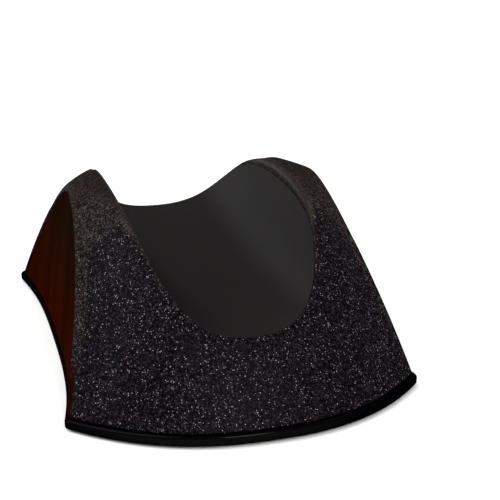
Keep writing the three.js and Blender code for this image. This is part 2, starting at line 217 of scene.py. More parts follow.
# A fuller corner: cubic blend that leaves the first point towards one handle and arrives from the other
def bendRows(first, leave, arrive, last, steps):
    rows = []
    for t in np.linspace(0, 1, steps + 1):
        near = first * (1 - t) ** 3 + leave * (3 * t * (1 - t) ** 2)
        rows.append(near + arrive * (3 * t ** 2 * (1 - t)) + last * t ** 3)
    return rows


# Mirrors the columns of one quarter, where x and y are positive, to the whole loop
def wholeLoop(quarter):
    flipX = np.array([-1, 1, 1])
    flipY = np.array([1, -1, 1])
    parts = [quarter, quarter[::-1] * flipX, quarter * flipX * flipY, quarter[::-1] * flipY]
    return np.concatenate(parts, axis=0)


# A mesh from rows of points: rows[v][u], closed round u, and either closed in v or ended by poles.
# The values are fields over the rows, and each becomes an attribute of the points.
def meshFromRows(name, rows, closedRows=False, poles=(None, None), values=None):
    rows = np.asarray(rows, float)
    rowCount, columnCount = rows.shape[:2]
    index = np.arange(rowCount * columnCount).reshape(rowCount, columnCount)
    after = np.roll(index, -1, axis=1)
    if closedRows:
        here, there = index, np.roll(index, -1, axis=0)
        hereNext, thereNext = after, np.roll(after, -1, axis=0)
    else:
        here, there = index[:-1], index[1:]
        hereNext, thereNext = after[:-1], after[1:]
    quads = np.stack([here, hereNext, thereNext, there], -1).reshape(-1, 4)
    points = rows.reshape(-1, 3)
    fans = []
    for pole, ring, turned in ((poles[0], 0, True), (poles[1], -1, False)):
        if pole is None:
            continue
        tip = np.full(columnCount, len(points))
        points = np.concatenate([points, [pole]])
        pair = (after[ring], index[ring]) if turned else (index[ring], after[ring])
        fans.append(np.stack([pair[0], pair[1], tip], -1))
    triangles = np.concatenate(fans) if fans else np.zeros((0, 3), int)
    loops = np.concatenate([quads.ravel(), triangles.ravel()])
    sizes = np.concatenate([np.full(len(quads), 4), np.full(len(triangles), 3)])
    mesh = bpy.data.meshes.new(name)
    mesh.vertices.add(len(points))
    mesh.vertices.foreach_set("co", (points * millimetre).ravel())
    mesh.loops.add(len(loops))
    mesh.loops.foreach_set("vertex_index", loops.astype(np.int32))
    mesh.polygons.add(len(sizes))
    starts = np.concatenate([[0], np.cumsum(sizes)[:-1]])
    mesh.polygons.foreach_set("loop_start", starts.astype(np.int32))
    mesh.polygons.foreach_set("use_smooth", np.ones(len(sizes), bool))
    mesh.update(calc_edges=True)
    mesh.validate()
    for label, field in (values or {}).items():
        data = np.asarray(field, float).ravel().astype(np.float32)
        mesh.attributes.new(label, "FLOAT", "POINT").data.foreach_set("value", data)
    piece = bpy.data.objects.new(name, mesh)
    bpy.context.scene.collection.objects.link(piece)
    return piece


# Turns every face the same way, outwards, and says how the piece came out
def faceOutwards(piece):
    work = bmesh.new()
    work.from_mesh(piece.data)
    bmesh.ops.recalc_face_normals(work, faces=work.faces)
    work.to_mesh(piece.data)
    work.free()
    print("  ", piece.name, len(piece.data.polygons), "faces")


cameraSet = {
    "place": (0.42695, -0.10464, 0.18446),
    "yaw": 16.768,          # degrees between the view and the channel
    "pitch": 18.753,        # degrees that it looks down
    "roll": 0.334,
    "focalPixels": 1090.58,
    "imageWidth": 500,
    "sensorWidth": 36,
    "clip": (0.01, 50),
}


# The camera's axes: back along the view, then level and upright, both turned by the roll
def makeCamera():
    yaw, pitch, roll = (math.radians(cameraSet[k]) for k in ("yaw", "pitch", "roll"))
    back = Vector((math.cos(pitch) * math.cos(yaw), -math.cos(pitch) * math.sin(yaw), math.sin(pitch)))
    level = Vector((0, 0, 1)).cross(back).normalized()
    upright = back.cross(level)
    right = level * math.cos(roll) + upright * math.sin(roll)
    up = upright * math.cos(roll) - level * math.sin(roll)
    lens = bpy.data.cameras.new("photoCamera")
    lens.sensor_width = cameraSet["sensorWidth"]
    lens.lens = cameraSet["focalPixels"] * cameraSet["sensorWidth"] / cameraSet["imageWidth"]
    lens.clip_start, lens.clip_end = cameraSet["clip"]
    camera = bpy.data.objects.new("photoCamera", lens)
    turned = Matrix((right, up, back)).transposed().to_4x4()
    camera.matrix_world = Matrix.Translation(cameraSet["place"]) @ turned
    bpy.context.scene.collection.objects.link(camera)
    bpy.context.scene.camera = camera


lightSet = {
    "worldColour": (1.0, 0.99, 0.975),
    "worldStrength": 0.55,
    "backdropStrength": 1.0,    # what shows beyond the floor's far edge
    "keyStrength": 2.4,
    "keyAngle": 55,         # degrees that the key light covers, which softens its shadows
    "keyFrom": (-0.25, -0.6, 1.0),
    "floorSize": 14,
    "floorColour": (0.88, 0.878, 0.872),
    "cards": {              # name: place, what it is aimed at, its width and height, its power
        "rollCard": ((-0.9, -0.33, 0.08), (-0.01, 0.037, 0.066), (0.3, 0.3), 1.1),
        "crestCard": ((-0.3, 0.5, 0.75), (0, 0.03, 0.06), (0.3, 0.3), 2),
        "frontCard": ((0.75, 0.1, 0.55), (0.1, 0, 0.01), (0.25, 0.35), 4),
        "sideCard": ((-0.1, -0.9, 0.35), (0.02, -0.05, 0.04), (0.5, 0.3), 2),
    },
}


# Stands a lamp at its place with its face towards the target
def aimAt(thing, place, target):
    away = (Vector(place) - Vector(target)).normalized()
    thing.matrix_world = Matrix.Translation(place) @ away.to_track_quat("Z", "Y").to_matrix().to_4x4()


# The camera sees a white backdrop, and everything else is lit by a dimmer studio
def makeWorld():
    world = bpy.data.worlds.new("studio")
    world.use_nodes = True
    tree = world.node_tree
    studio = tree.nodes["Background"]
    backdrop = tree.nodes.new("ShaderNodeBackground")
    for node, strength in ((studio, "worldStrength"), (backdrop, "backdropStrength")):
        node.inputs["Color"].default_value = (*lightSet["worldColour"], 1)
        node.inputs["Strength"].default_value = lightSet[strength]
    seen = tree.nodes.new("ShaderNodeLightPath").outputs["Is Camera Ray"]
    either = tree.nodes.new("ShaderNodeMixShader")
    for socket, source in zip(either.inputs, (seen, studio.outputs[0], backdrop.outputs[0])):
        tree.links.new(source, socket)
    tree.links.new(either.outputs[0], tree.nodes["World Output"].inputs["Surface"])
    bpy.context.scene.world = world


def hangLamp(name, kind, place, target):
    lamp = bpy.data.lights.new(name, kind)
    thing = bpy.data.objects.new(name, lamp)
    aimAt(thing, place, target)
    bpy.context.scene.collection.objects.link(thing)
    return lamp


def makeLights():
    key = hangLamp("key", "SUN", lightSet["keyFrom"], (0, 0, 0))
    key.energy = lightSet["keyStrength"]
    key.angle = math.radians(lightSet["keyAngle"])
    for name, (place, target, size, power) in lightSet["cards"].items():
        card = hangLamp(name, "AREA", place, target)
        card.shape = "RECTANGLE"
        card.size, card.size_y = size
        card.energy = power


makeCamera()
makeWorld()
makeLights()
bpy.context.scene.view_settings.view_transform = "Standard"
print("camera and lights placed")


# A new material with its node tree, its shader and the place that its patterns read
def newMaterial(name):
    material = bpy.data.materials.new(name)
    material.use_nodes = True
    tree = material.node_tree
    place = tree.nodes.new("ShaderNodeTexCoord").outputs["Object"]
    return material, tree, tree.nodes["Principled BSDF"], place


def setInputs(node, values):
    for label, value in values.items():
        node.inputs[label].default_value = value
    return node


def addNode(tree, kind, inputs=None, **settings):
    node = tree.nodes.new(kind)
    for label, value in settings.items():
        setattr(node, label, value)
    return setInputs(node, inputs or {})


# One step of arithmetic, on sockets or plain numbers
def calc(tree, operation, first, second=0.0, third=0.0):
    node = tree.nodes.new("ShaderNodeMath")
    node.operation = operation
    for socket, value in zip(node.inputs, (first, second, third)):
        if isinstance(value, (int, float)):
            socket.default_value = value
        else:
            tree.links.new(value, socket)
    return node.outputs[0]


# Carries a value over from one range to another, held at the ends
def remap(tree, value, fromLow, fromHigh, toLow, toHigh):
    node = addNode(tree, "ShaderNodeMapRange", {
        "From Min": fromLow, "From Max": fromHigh, "To Min": toLow, "To Max": toHigh})
    tree.links.new(value, node.inputs["Value"])
    return node.outputs["Result"]


def mixColours(tree, share, first, second):
    node = tree.nodes.new("ShaderNodeMix")
    node.data_type = "RGBA"
    for socket, value in ((node.inputs[0], share), (node.inputs[6], first), (node.inputs[7], second)):
        if isinstance(value, tuple):
            socket.default_value = (*value, 1)
        elif isinstance(value, (int, float)):
            socket.default_value = value
        else:
            tree.links.new(value, socket)
    return node.outputs[2]


def addNoise(tree, place, scale, detail, **more):
    node = addNode(tree, "ShaderNodeTexNoise", {"Scale": scale, "Detail": detail, **more})
    tree.links.new(place, node.inputs["Vector"])
    return node.outputs[0]


def stretch(tree, place, scale):
    node = addNode(tree, "ShaderNodeMapping", {"Scale": scale})
    tree.links.new(place, node.inputs["Vector"])
    return node.outputs[0]


def readAttribute(tree, name):
    return addNode(tree, "ShaderNodeAttribute", attribute_name=name).outputs["Fac"]


def layerFacing(tree):
    return addNode(tree, "ShaderNodeLayerWeight", {"Blend": 0.5}).outputs["Facing"]


# The pattern inside the grain group, the same on every piece that carries it
grainPattern = {
    "fineScale": 1.9,       # the second, finer cells, and the painted glints, against the first
    "glintScale": 1.05,
    "coarseWeight": 0.65,   # of the two sizes of cell in the shade
    "fineWeight": 0.35,
    "glintEdge": (0.15, 0.45),  # a glint is whole to the first distance and gone at the second
    "glintPower": 1.6,      # the higher, the fewer glints are bright
    "pebbleReach": 0.8,
    "finePebble": 0.5,      # height of the finer pebbles
    "hueSwing": (0.4, 0.3, 0.5),
    "hueLow": (0.8, 0.85, 0.75),
}


# Moulded grain: cells of uneven shade in two sizes, scattered painted glints that stand in for highlights,
# and the pebbles' height
def makeGrainGroup():
    spec = grainPattern
    group = bpy.data.node_groups.new("mouldedGrain", "ShaderNodeTree")
    side = group.interface
    side.new_socket("Vector", in_out="INPUT", socket_type="NodeSocketVector")
    for label, start in (("Cells per metre", 1500.0), ("Glint share", 0.06), ("Shade power", 2.5)):
        side.new_socket(label, in_out="INPUT", socket_type="NodeSocketFloat").default_value = start
    for label in ("Height", "Glint", "Shade"):
        side.new_socket(label, in_out="OUTPUT", socket_type="NodeSocketFloat")
    side.new_socket("Hue", in_out="OUTPUT", socket_type="NodeSocketVector")
    enter = group.nodes.new("NodeGroupInput")
    leave = group.nodes.new("NodeGroupOutput")
    cellCount = enter.outputs["Cells per metre"]
    glintShare = enter.outputs["Glint share"]
    shadePower = enter.outputs["Shade power"]

    def cells(scale):
        node = addNode(group, "ShaderNodeTexVoronoi", {"Randomness": 1.0})
        group.links.new(enter.outputs["Vector"], node.inputs["Vector"])
        group.links.new(calc(group, "MULTIPLY", cellCount, scale), node.inputs["Scale"])
        pick = addNode(group, "ShaderNodeSeparateColor")
        group.links.new(node.outputs["Color"], pick.inputs[0])
        return node, pick

    coarse, coarsePick = cells(1.0)
    fine, finePick = cells(spec["fineScale"])
    glints, glintPick = cells(spec["glintScale"])
    coarseShade = calc(group, "POWER", coarsePick.outputs[0], shadePower)
    fineShade = calc(group, "POWER", finePick.outputs[0], shadePower)
    fineShade = calc(group, "MULTIPLY", fineShade, spec["fineWeight"])
    shade = calc(group, "MULTIPLY_ADD", coarseShade, spec["coarseWeight"], fineShade)
    group.links.new(shade, leave.inputs["Shade"])
    # Painted glints: bright spots in a share of the cells, highlights put into the colour
    chosen = calc(group, "GREATER_THAN", calc(group, "ADD", glintPick.outputs[0], glintShare), 1.0)
    spot = remap(group, glints.outputs["Distance"], *spec["glintEdge"], 1.0, 0.0)
    strength = calc(group, "POWER", glintPick.outputs[1], spec["glintPower"])
    glint = calc(group, "MULTIPLY", calc(group, "MULTIPLY", chosen, spot), strength)
    group.links.new(glint, leave.inputs["Glint"])
    domes = remap(group, coarse.outputs["Distance"], 0.0, spec["pebbleReach"], 1.0, 0.0)
    fineDomes = remap(group, fine.outputs["Distance"], 0.0, spec["pebbleReach"], spec["finePebble"], 0.0)
    group.links.new(calc(group, "ADD", domes, fineDomes), leave.inputs["Height"])
    tint = addNode(group, "ShaderNodeVectorMath", operation="MULTIPLY_ADD")
    group.links.new(coarse.outputs["Color"], tint.inputs[0])
    tint.inputs[1].default_value = spec["hueSwing"]
    tint.inputs[2].default_value = spec["hueLow"]
    group.links.new(tint.outputs[0], leave.inputs["Hue"])
    return group


grainGroup = makeGrainGroup()


def placeGrain(tree, place, values):
    node = addNode(tree, "ShaderNodeGroup", node_tree=grainGroup)
    tree.links.new(place, node.inputs["Vector"])
    return setInputs(node, values)


# Multiplies a colour by one value
def scaleColour(tree, colour, factor):
    node = addNode(tree, "ShaderNodeVectorMath", operation="SCALE")
    tree.links.new(colour, node.inputs[0])
    tree.links.new(factor, node.inputs["Scale"])
    return node.outputs[0]


def multiplyColours(tree, first, second):
    node = addNode(tree, "ShaderNodeVectorMath", operation="MULTIPLY")
    tree.links.new(first, node.inputs[0])
    tree.links.new(second, node.inputs[1])
    return node.outputs[0]


def addBump(tree, shader, height, strength, distance):
    bump = addNode(tree, "ShaderNodeBump", {"Strength": strength, "Distance": distance})
    tree.links.new(height, bump.inputs["Height"])
    tree.links.new(bump.outputs[0], shader.inputs["Normal"])


grainedSet = {
    "frontColour": (0.0054, 0.0042, 0.0055),
    # the shoulders' paler tone is partly smoother grain and partly painted light from above
    "shoulderColour": (0.0142, 0.0112, 0.0106),
    "crestColour": (0.0115, 0.0084, 0.0074),
    # the glints are painted highlights mixed into the base colour
    "paintedGlintColour": (0.6, 0.56, 0.62),
    "cornerReflectionColour": (0.0095, 0.0014, 0.0003),   # a brown floor reflection painted on the low corners' break
    "glintShare": 0.14,
    "cells": 2200.0,
    "shadePower": 5.6,      # the higher, the darker most cells and the brighter the few
    "darkest": 0.06,        # share of the colour that the darkest cell keeps
    "contrasts": (1.0, 1.0, 0.5),   # of the cells on the front, the shoulders and the crests
    "shoulderGrain": 0.45,  # the grain value on the shoulders, and on the crests
    "crestGrain": 0.12,
    "roughness": (0.45, 0.6),   # where the grain is worn, and where it is full
    "bumpShare": (0.05, 1.0),
    "bumpStrength": 0.6,
    "bumpDistance": 0.0002,
    "coat": 0.03,
    "polish": 0.16,         # coat on the rolled edge above the channel
    "coatRoughness": 0.42,
}


# The end faces: near-black grain with painted glints, paler on the shoulders partly as painted light from
# above, and worn smooth on the crests
def makeGrained():
    material, tree, shader, place = newMaterial("grainedShell")
    spec = grainedSet
    grain = placeGrain(tree, place, {"Cells per metre": spec["cells"], "Glint share": spec["glintShare"],
                                     "Shade power": spec["shadePower"]})
    amount = readAttribute(tree, "grain")
    onFront = remap(tree, amount, spec["shoulderGrain"], 1.0, 0.0, 1.0)
    offCrest = remap(tree, amount, spec["crestGrain"], spec["shoulderGrain"], 0.0, 1.0)
    upper = mixColours(tree, offCrest, spec["crestColour"], spec["shoulderColour"])
    base = mixColours(tree, onFront, upper, spec["frontColour"])
    evenShade = 1 / (spec["shadePower"] + 1)    # mean of the grain's shade
    front, shoulder, crest = spec["contrasts"]
    upperContrast = calc(tree, "MULTIPLY_ADD", offCrest, shoulder - crest, crest)
    contrast = calc(tree, "MULTIPLY_ADD", onFront, front - shoulder, upperContrast)
    swing = calc(tree, "DIVIDE", calc(tree, "SUBTRACT", grain.outputs["Shade"], evenShade), evenShade)
    shade = calc(tree, "MAXIMUM", calc(tree, "MULTIPLY_ADD", swing, contrast, 1.0), spec["darkest"])
    shaded = scaleColour(tree, multiplyColours(tree, base, grain.outputs["Hue"]), shade)
    # painted glints, fewer where the grain is worn smooth
    glintAmount = remap(tree, amount, spec["crestGrain"], 1.0, 0.0, 1.0)
    glint = calc(tree, "MULTIPLY", grain.outputs["Glint"], glintAmount)
    withPaintedGlints = mixColours(tree, glint, shaded, spec["paintedGlintColour"])
    # painted floor reflection on the low corners, mixed over everything else
    corner = readAttribute(tree, "corner")
    tree.links.new(mixColours(tree, corner, withPaintedGlints, spec["cornerReflectionColour"]), shader.inputs["Base Color"])
    tree.links.new(remap(tree, amount, 0, 1, *spec["roughness"]), shader.inputs["Roughness"])
    setInputs(shader, {"Specular IOR Level": 0.0, "Coat Roughness": spec["coatRoughness"]})
    coat = remap(tree, readAttribute(tree, "polish"), 0.0, 1.0, spec["coat"], spec["polish"])
    coat = calc(tree, "MULTIPLY", coat, calc(tree, "SUBTRACT", 1.0, corner))
    tree.links.new(coat, shader.inputs["Coat Weight"])
    depth = remap(tree, amount, 0, 1, *spec["bumpShare"])
    pebbles = calc(tree, "MULTIPLY", grain.outputs["Height"], depth)
    addBump(tree, shader, pebbles, spec["bumpStrength"], spec["bumpDistance"])
    return material


satinSet = {
    "colour": (0.0094, 0.0084, 0.0082),
    "worn": (0.0118, 0.0106, 0.0103),
    "mottleScale": 60.0,
    "mottleBand": (0.4, 0.65),
    "mottleMost": 0.8,
    "scuffScale": (18.0, 900.0, 900.0),     # long along the channel, fine across it
    "scuffBand": (0.52, 0.72),
    "roughnessBand": (0.3, 0.7),
    "roughness": (0.32, 0.42),
    "coat": 0.06,
    "coatRoughness": 0.35,
    "cells": 1600.0,
    "bumpStrength": 0.25,
    "bumpDistance": 0.00008,
}


# The channel: smooth satin grey with a faint mottle and fine scuffs along its length
def makeSatin():
    material, tree, shader, place = newMaterial("satinCradle")
    spec = satinSet
    grain = placeGrain(tree, place, {"Cells per metre": spec["cells"], "Glint share": 0.0})
    mottle = addNoise(tree, place, spec["mottleScale"], 4.0)
    scuffs = addNoise(tree, stretch(tree, place, spec["scuffScale"]), 1.0, 3.0)
    wear = remap(tree, scuffs, *spec["scuffBand"], 0.0, 1.0)
    patches = remap(tree, mottle, *spec["mottleBand"], 0.0, spec["mottleMost"])
    share = calc(tree, "MULTIPLY", wear, patches)
    tree.links.new(mixColours(tree, share, spec["colour"], spec["worn"]), shader.inputs["Base Color"])
    roughness = remap(tree, mottle, *spec["roughnessBand"], *spec["roughness"])
    tree.links.new(roughness, shader.inputs["Roughness"])
    setInputs(shader, {
        "Specular IOR Level": 0.0, "Coat Weight": spec["coat"], "Coat Roughness": spec["coatRoughness"]})
    addBump(tree, shader, grain.outputs["Height"], spec["bumpStrength"], spec["bumpDistance"])
    return material


panelSet = {
    "colour": (0.0115, 0.0014, 0.0001),     # painted floor reflection, low down
    "streak": (0.0185, 0.0024, 0.0002),
    "highReflectionColour": (0.0052, 0.0018, 0.0005),     # and darker near the top of the arch
    "highStreak": (0.0078, 0.0025, 0.0006),
    "heights": (0.016, 0.05),       # in metres, where the one tone passes into the other
    "streakScale": (60.0, 60.0, 6.0),
    "streakBand": (0.4, 0.66),
    "smearScale": 90.0,
    "smearSwirl": 0.8,
    "smearBand": (0.45, 0.75),
    "roughness": (0.05, 0.12),
    "coatRoughness": 0.05,
    "gloss": (0.5, 0.001),          # seen square on, and at a slant, where a real floor would be dark
    "facing": (0.2, 0.6),
}


# The side panels: polished near-black panels with a brown floor reflection painted into their colour, redder
# low down, with faint streaks and handling smears
def makePanelGloss():
    material, tree, shader, place = newMaterial("glossPanel")
    spec = panelSet
    streaks = addNoise(tree, stretch(tree, place, spec["streakScale"]), 1.0, 3.0)
    smears = addNoise(tree, place, spec["smearScale"], 5.0, Distortion=spec["smearSwirl"])
    share = remap(tree, streaks, *spec["streakBand"], 0.0, 1.0)
    low = mixColours(tree, share, spec["colour"], spec["streak"])
    high = mixColours(tree, share, spec["highReflectionColour"], spec["highStreak"])
    parts = addNode(tree, "ShaderNodeSeparateXYZ")
    tree.links.new(place, parts.inputs[0])
    # painted floor reflection: the brown tone darkens with height
    climb = remap(tree, parts.outputs["Z"], *spec["heights"], 0.0, 1.0)
    tree.links.new(mixColours(tree, climb, low, high), shader.inputs["Base Color"])
    roughness = remap(tree, smears, *spec["smearBand"], *spec["roughness"])
    tree.links.new(roughness, shader.inputs["Roughness"])
    setInputs(shader, {"Specular IOR Level": 0.0, "Coat Roughness": spec["coatRoughness"]})
    gloss = remap(tree, layerFacing(tree), *spec["facing"], *spec["gloss"])
    tree.links.new(gloss, shader.inputs["Coat Weight"])
    return material


rimSet = {
    "colour": (0.0003, 0.00024, 0.00026),
    "dust": (0.0016, 0.0014, 0.0014),
    "dustScale": 120.0,
    "dustBand": (0.55, 0.8),
    "dustMost": 0.5,
    "roughnessBand": (0.4, 0.75),
    "roughness": (0.1, 0.2),
    "coatRoughness": 0.07,
    "gloss": (0.08, 0.006),     # seen square on, and at a slant
    "facing": (0.08, 0.35),
}


# The base rim: jet black polish with a little dust in patches
def makeRimGloss():
    material, tree, shader, place = newMaterial("glossRim")
    spec = rimSet
    patches = addNoise(tree, place, spec["dustScale"], 6.0, Roughness=0.65)
    share = remap(tree, patches, *spec["dustBand"], 0.0, spec["dustMost"])
    tree.links.new(mixColours(tree, share, spec["colour"], spec["dust"]), shader.inputs["Base Color"])
    roughness = remap(tree, patches, *spec["roughnessBand"], *spec["roughness"])
    tree.links.new(roughness, shader.inputs["Roughness"])
    setInputs(shader, {"Specular IOR Level": 0.0, "Coat Roughness": spec["coatRoughness"]})
    gloss = remap(tree, layerFacing(tree), *spec["facing"], *spec["gloss"])
    tree.links.new(gloss, shader.inputs["Coat Weight"])
    return material


# Plainer finishes, each a cloudy mix of two tones with a fine bump
plainSet = {
    "inner": {
        "name": "innerPlastic", "tones": ((0.012, 0.012, 0.013), (0.02, 0.02, 0.021)),
        "roughness": (0.5, 0.65), "metallic": 0.0, "scale": 900.0, "bumpDistance": 0.00008},
    "rubber": {
        "name": "rubberFoot", "tones": ((0.009, 0.009, 0.0095), (0.018, 0.018, 0.018)),
        "roughness": (0.75, 0.92), "metallic": 0.0, "scale": 700.0, "bumpDistance": 0.0001},
    "steel": {
        "name": "platedScrew", "tones": ((0.5, 0.5, 0.5), (0.62, 0.6, 0.56)),
        "roughness": (0.25, 0.42), "metallic": 1.0, "scale": 1500.0, "bumpDistance": 0.00002},
    "floor": {
        "name": "paleFloor", "tones": (lightSet["floorColour"],) * 2,
        "roughness": (0.85, 0.9), "metallic": 0.0, "scale": 3.0, "bumpDistance": 0.00001},
}
cloudBand = (0.35, 0.7)
plainBump = 0.4


def makePlain(spec):
    material, tree, shader, place = newMaterial(spec["name"])
    cloud = addNoise(tree, place, spec["scale"], 5.0, Roughness=0.6)
    share = remap(tree, cloud, *cloudBand, 0.0, 1.0)
    tree.links.new(mixColours(tree, share, *spec["tones"]), shader.inputs["Base Color"])
    tree.links.new(remap(tree, cloud, *cloudBand, *spec["roughness"]), shader.inputs["Roughness"])
    setInputs(shader, {"Metallic": spec["metallic"]})
    addBump(tree, shader, cloud, plainBump, spec["bumpDistance"])
    return material


finishes = {
    "grained": makeGrained(),
    "satin": makeSatin(),
    "panel": makePanelGloss(),
    "rim": makeRimGloss(),
}
finishes.update((finish, makePlain(spec)) for finish, spec in plainSet.items())
print("materials made")


# Gives a piece its finish and its body, and hides the node that it stands for
def finishPiece(piece, finish, node):
    faceOutwards(piece)
    piece.data.materials.append(finishes[finish])
    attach(piece, "root")
    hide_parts(node)


shellShape = {
    "noseColumns": 84,      # in a quarter, over the curved end and along the side arch
    "archColumns": 124,
    "noseSearch": 60,       # the end face's foot lies further out than this
    "roofRows": 46,
    "roofSpread": 1.25,     # above 1, the rows lie closer together beside the channel
    "innerRows": 8,
    "filletRoof": 3.6,      # the rounded arch edge starts this far in on the roof
    "filletShare": 0.82,    # and ends at this share of the way down the edge strip
    "filletPull": 0.72,     # how far its handles reach towards the sharp corner
    "filletRows": 12,
    "mouthRound": 0.35,
    "mouthRows": 4,
    "footRound": 0.35,
    "pocketDepth": 3.4,
    "pocketRound": 0.35,
    "pocketRows": 3,
}

# Where the shell's finish changes, in millimetres
shellFinish = {
    "grainFrom": (36, 42),          # the grain pales this far from the middle, onto the shoulders, partly as painted light from above
    "crestHeights": (63, 69),       # and wears smooth over these heights
    "edgeLitBand": (0.2, 2.0),         # it is paler within this distance of the arch's edge, painted light on the rounded edge
    "edgeFade": (0.35, 0.95),       # by these shares, at the foot and high up
    "edgeHeights": (12, 46),
    "mouthBand": (1.0, 2.2),        # and within this distance of the channel
    "mouthHeights": (40, 50),       # where that lies high
    "rollRise": (0.0, 1.2),         # the rolled edge's polish grows over this distance from the channel
    "rollFall": (2.4, 5.0),         # and fades over this
    "rollHeights": (56, 62),
    "cornerReflectionBand": (1.2, 2.0),      # a brown floor reflection is painted this far round the low corners from the roof
    "cornerReflectionHeights": (12, 24),      # and fades out over these heights
}


def shellUnder(x, y):
    return underHeight(x, y, blockForm["roofWall"])


# Columns of the shell from the nose's middle, past the corner, to the top of the side arch.
# Each holds the points that its cross-section passes through.
def shellColumns():
    foot = blockForm["rimHeight"]
    spec = shellShape

    def edgeCurve(x):
        return onSide(x, crownHeight)

    def startCurve(x):
        y = edgeCurve(x)[..., 1] - spec["filletRoof"]
        return np.stack([x, y, crownHeight(x, y)], -1)

    def stripCurve(x):
        return onSide(x, shellUnder)

    def pocketCurve(x):
        y = onSide(x, shellUnder, spec["pocketDepth"])[..., 1]
        return np.stack([x, y, shellUnder(x, y)], -1)

    shares = np.arange(spec["archColumns"]) / (spec["archColumns"] - 0.5)
    curves = (startCurve, edgeCurve, stripCurve, pocketCurve)
    start, edge, strip, pocket = (fromRimToMiddle(curve, shares, foot) for curve in curves)
    fillet = mixPoints(edge, strip, spec["filletShare"])
    count = spec["noseColumns"]
    y = start[0, 1] * (np.arange(count) + 0.5) / count

    def nosePoint(field, z, inset=0):
        near = np.full(count, float(spec["noseSearch"]))
        far = np.full(count, float(tracing["widest"]))
        x = lastWhere(lambda x: field(x, y) > z, near, far) - inset
        return np.stack([x, y, np.full(count, z)], -1)

    low = spec["footRound"]
    return {
        "start": np.concatenate([nosePoint(crownHeight, foot + low), start]),
        "edge": np.concatenate([nosePoint(crownHeight, foot), edge]),
        "fillet": np.concatenate([nosePoint(crownHeight, foot, low), fillet]),
        "strip": np.concatenate([nosePoint(shellUnder, foot), strip]),
        "pocket": np.concatenate([nosePoint(shellUnder, foot + low), pocket]),
    }


# What the shell's material reads at each point: grain, from 0, worn smooth, to 1, full, whose paler
# shoulder values are partly painted light and whose arch-edge band is painted light; polish, for the
# rolled edge above the channel; and corner, for a brown floor reflection painted on the low corners.
# Each is made of smooth steps over height, place along the block and distance from the channel and the arch.
def shellValues(loops, edgeLoop, mouthLoop, startRow):
    spec = shellFinish
    onNose = np.zeros(shellShape["noseColumns"] + shellShape["archColumns"])
    onNose[:shellShape["noseColumns"]] = 1
    onNose = np.concatenate([onNose, onNose[::-1], onNose, onNose[::-1]])
    awayFromEdge = np.linalg.norm(loops - edgeLoop, axis=2)
    awayFromMouth = np.linalg.norm(loops - mouthLoop, axis=2)
    height = loops[..., 2]
    # painted light: the grain pales beside the arch's rounded edge
    alongEdge = np.maximum(smoothStep(awayFromEdge, *spec["edgeLitBand"]), onNose)
    alongEdge[startRow:] *= onNose
    fadeShare = mixPoints(*spec["edgeFade"], smoothStep(height, *spec["edgeHeights"]))
    alongEdge = 1 - fadeShare * (1 - alongEdge)
    besideMouth = 1 - smoothStep(awayFromMouth, *spec["mouthBand"])
    besideMouth *= smoothStep(height, *spec["mouthHeights"])
    front = smoothStep(np.abs(loops[..., 0]), *spec["grainFrom"]) * alongEdge * (1 - besideMouth)
    shoulder, crest = grainedSet["shoulderGrain"], grainedSet["crestGrain"]
    grain = shoulder + (1 - shoulder) * front
    grain += (crest - grain) * smoothStep(height, *spec["crestHeights"])
    polish = smoothStep(awayFromMouth, *spec["rollRise"])
    polish *= (1 - smoothStep(awayFromMouth, *spec["rollFall"])) * smoothStep(height, *spec["rollHeights"])
    grain += (crest - grain) * polish
    # mask of the painted floor reflection on the low corners
    corner = smoothStep(awayFromEdge, *spec["cornerReflectionBand"])
    corner *= 1 - smoothStep(height, *spec["cornerReflectionHeights"])
    corner[:startRow] = 0
    return {"grain": grain, "polish": polish, "corner": corner}


